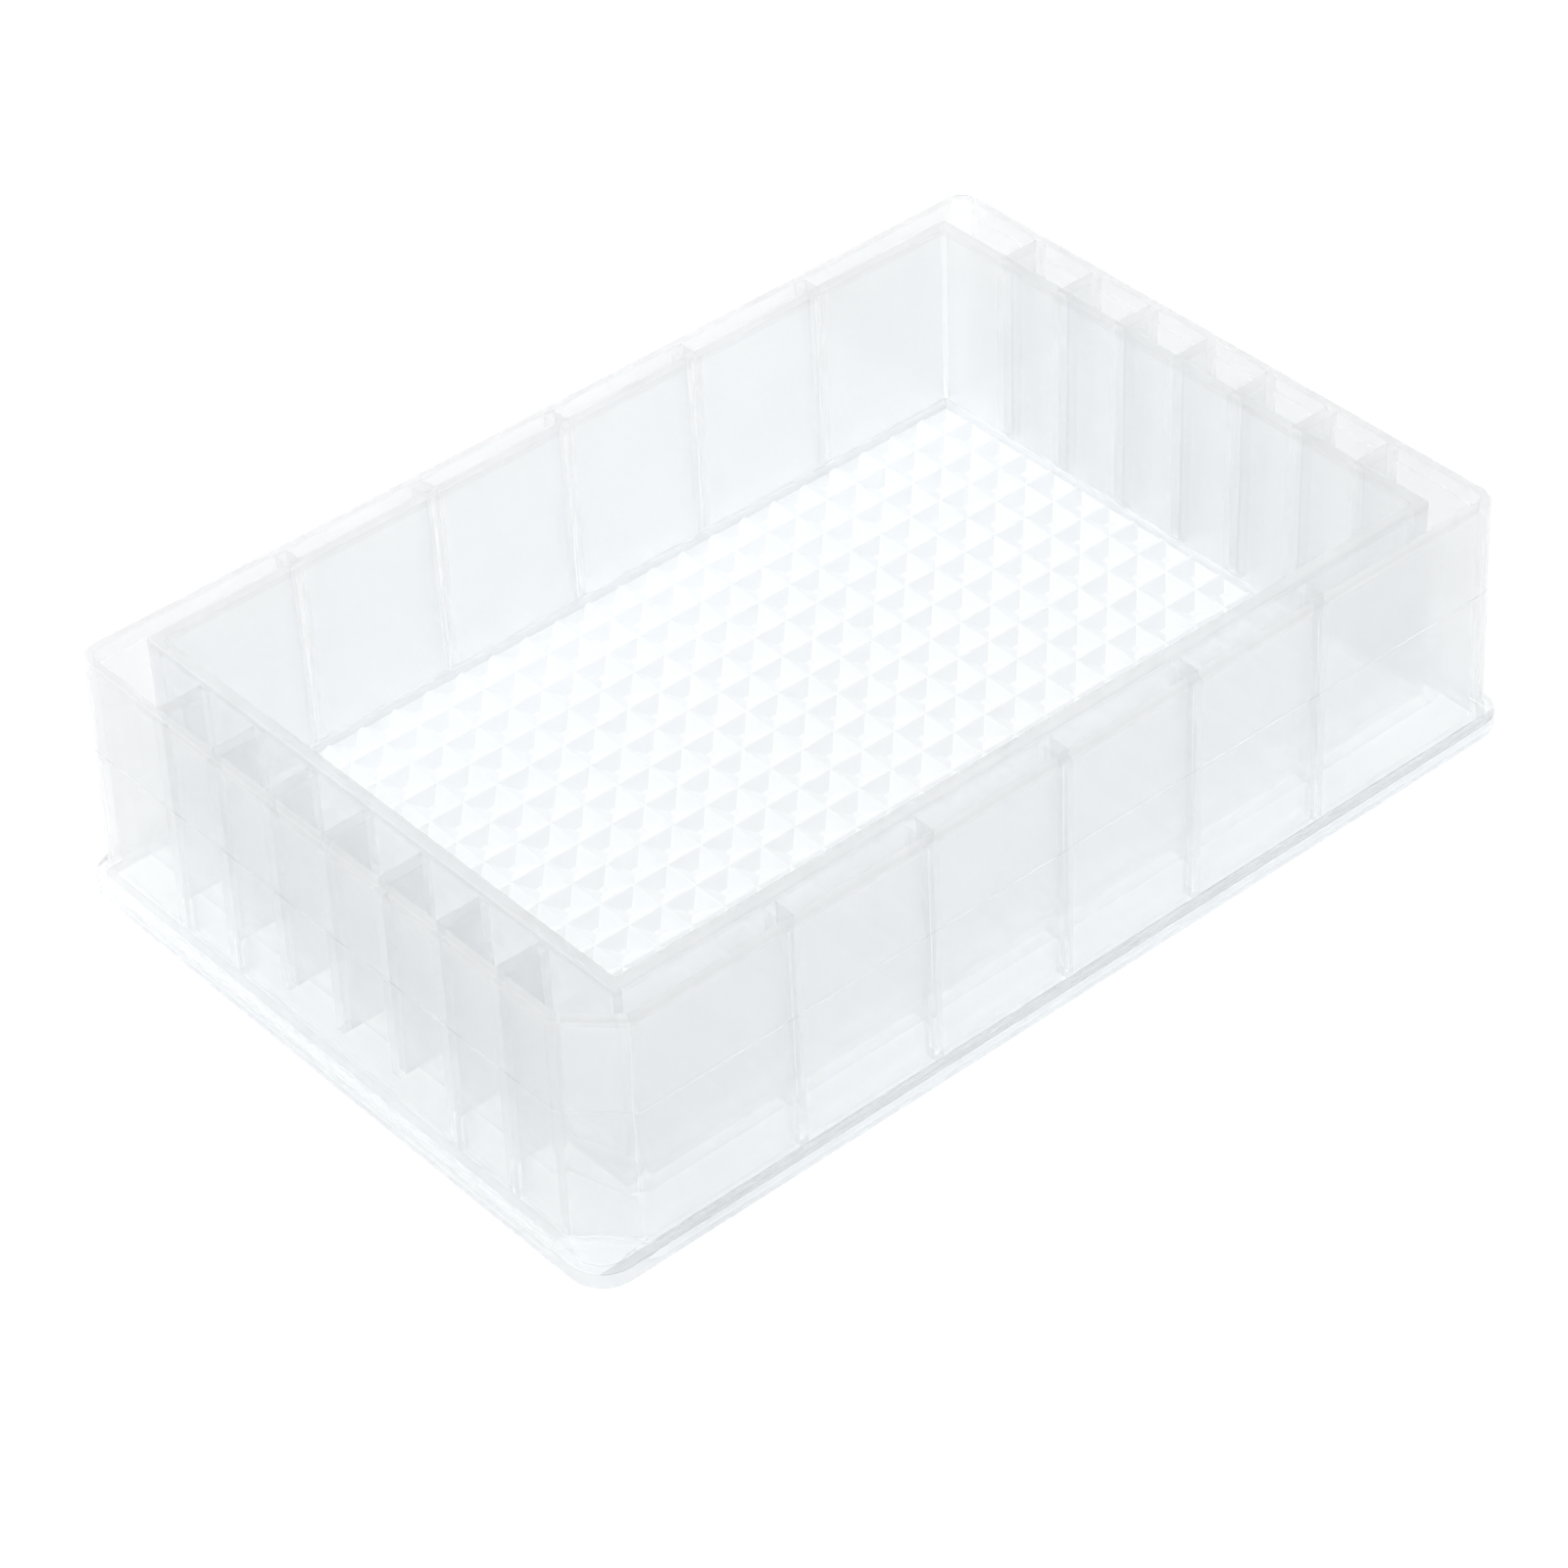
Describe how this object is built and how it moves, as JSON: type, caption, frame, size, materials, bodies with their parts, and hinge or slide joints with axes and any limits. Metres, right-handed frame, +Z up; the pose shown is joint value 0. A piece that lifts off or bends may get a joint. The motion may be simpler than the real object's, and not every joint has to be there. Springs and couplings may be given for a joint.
{
  "type": "reagent reservoir",
  "caption": "Open rectangular reagent trough with a pyramid-pitted floor, held by ribs in a plate-footprint outer wall with a base flange and one cut corner.",
  "frame": {"origin": "centre of the rectangle that the base flange rests on, in the resting plane", "axes": "+X along the long side, +Y along the short side, +Z up out of the open trough; the cut corner is at -X, -Y"},
  "size_m": [0.1278, 0.0854, 0.031],
  "materials": {
    "polypropylene": "natural translucent polypropylene, satin as moulded"
  },
  "bodies": {
    "root": {"reservoir_body": "polypropylene"}
  },
  "joints": []
}
